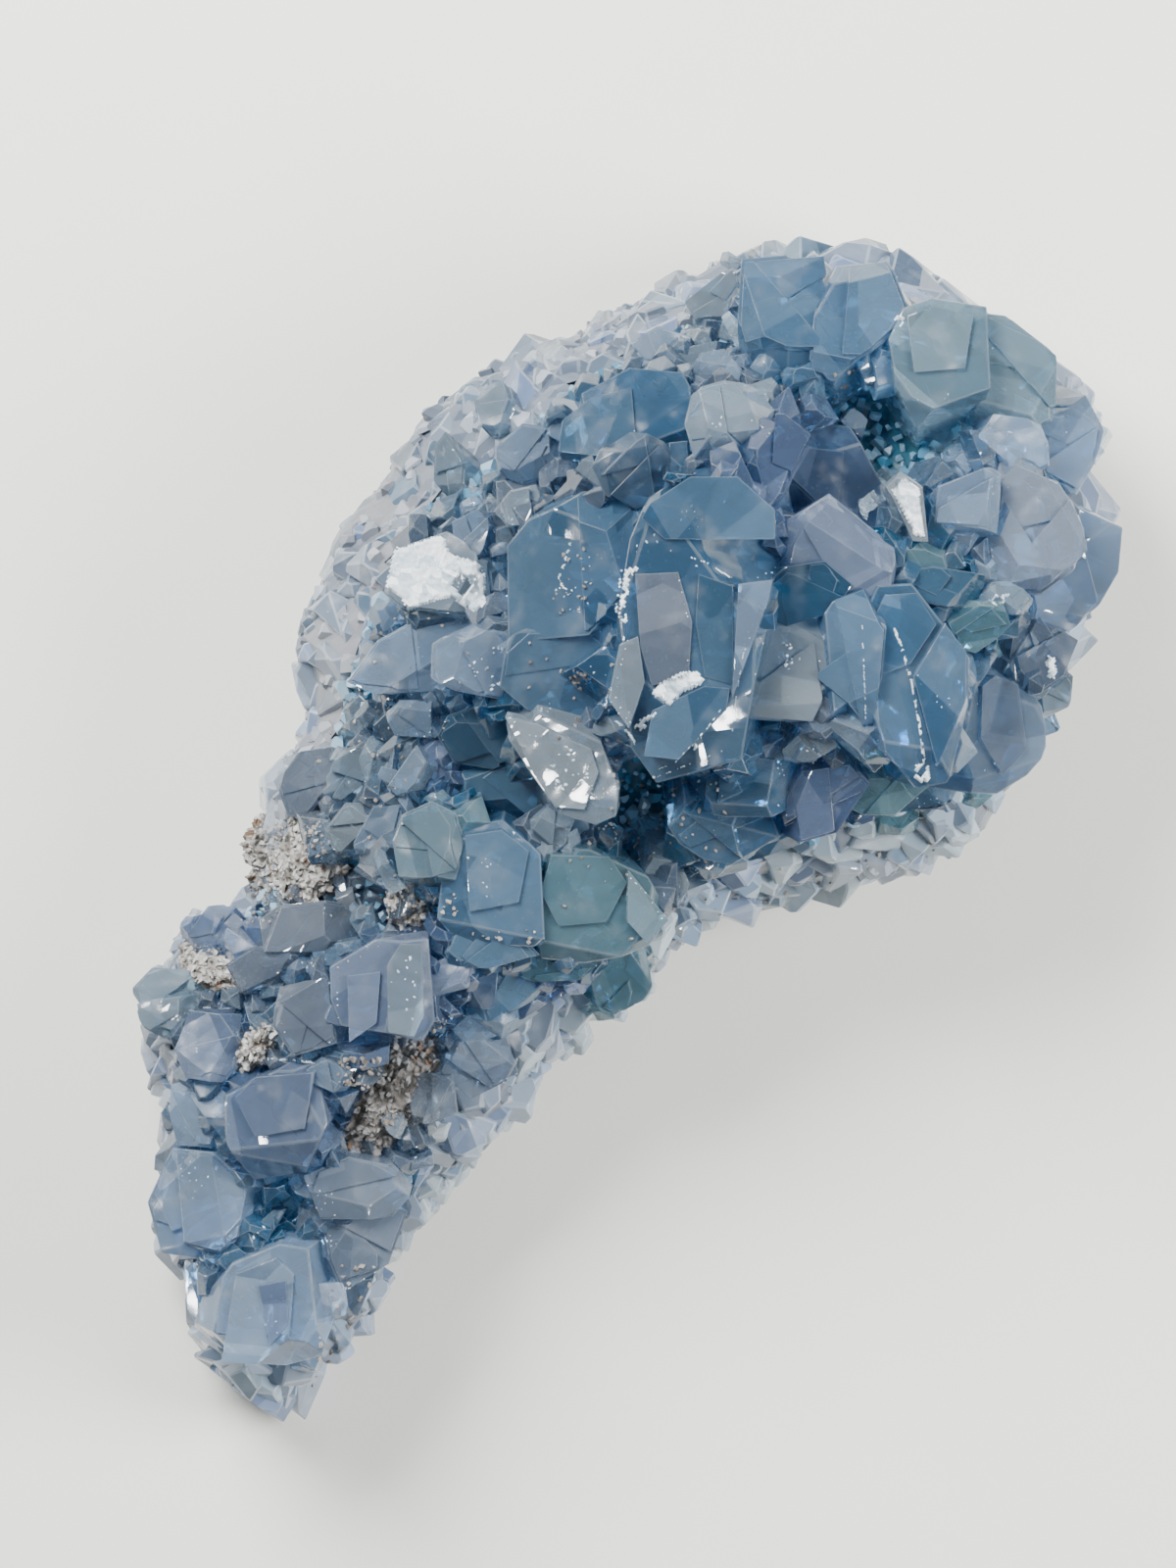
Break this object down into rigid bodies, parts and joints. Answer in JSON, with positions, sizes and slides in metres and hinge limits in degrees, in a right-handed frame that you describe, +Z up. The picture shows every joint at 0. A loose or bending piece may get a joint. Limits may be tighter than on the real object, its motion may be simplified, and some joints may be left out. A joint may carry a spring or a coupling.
{
  "type": "celestite cluster",
  "caption": "Drumstick-shaped celestite cluster: pale blue blocky crystals lining a white granular rind, with crumbs of host rock.",
  "frame": {"origin": "centre of the bounding box, at the level that it rests on", "axes": "+X along the specimen from the tail to the broad head, +Y towards the broad pale flank, +Z up"},
  "size_m": [0.108, 0.0578, 0.036],
  "materials": {
    "rind": "pale fine-grained celestite, sugary, slightly translucent",
    "crystal": "clear to milky blue celestite, satin crystal faces",
    "marl": "dull brown-grey crumbly host rock"
  },
  "bodies": {
    "root": {"rind": "rind", "crystals": "crystal", "marl_shoulder": "marl", "marl_tail_middle": "marl", "marl_tail_left": "marl", "marl_tail_corner": "marl", "marl_under_pale": "marl"}
  },
  "joints": []
}
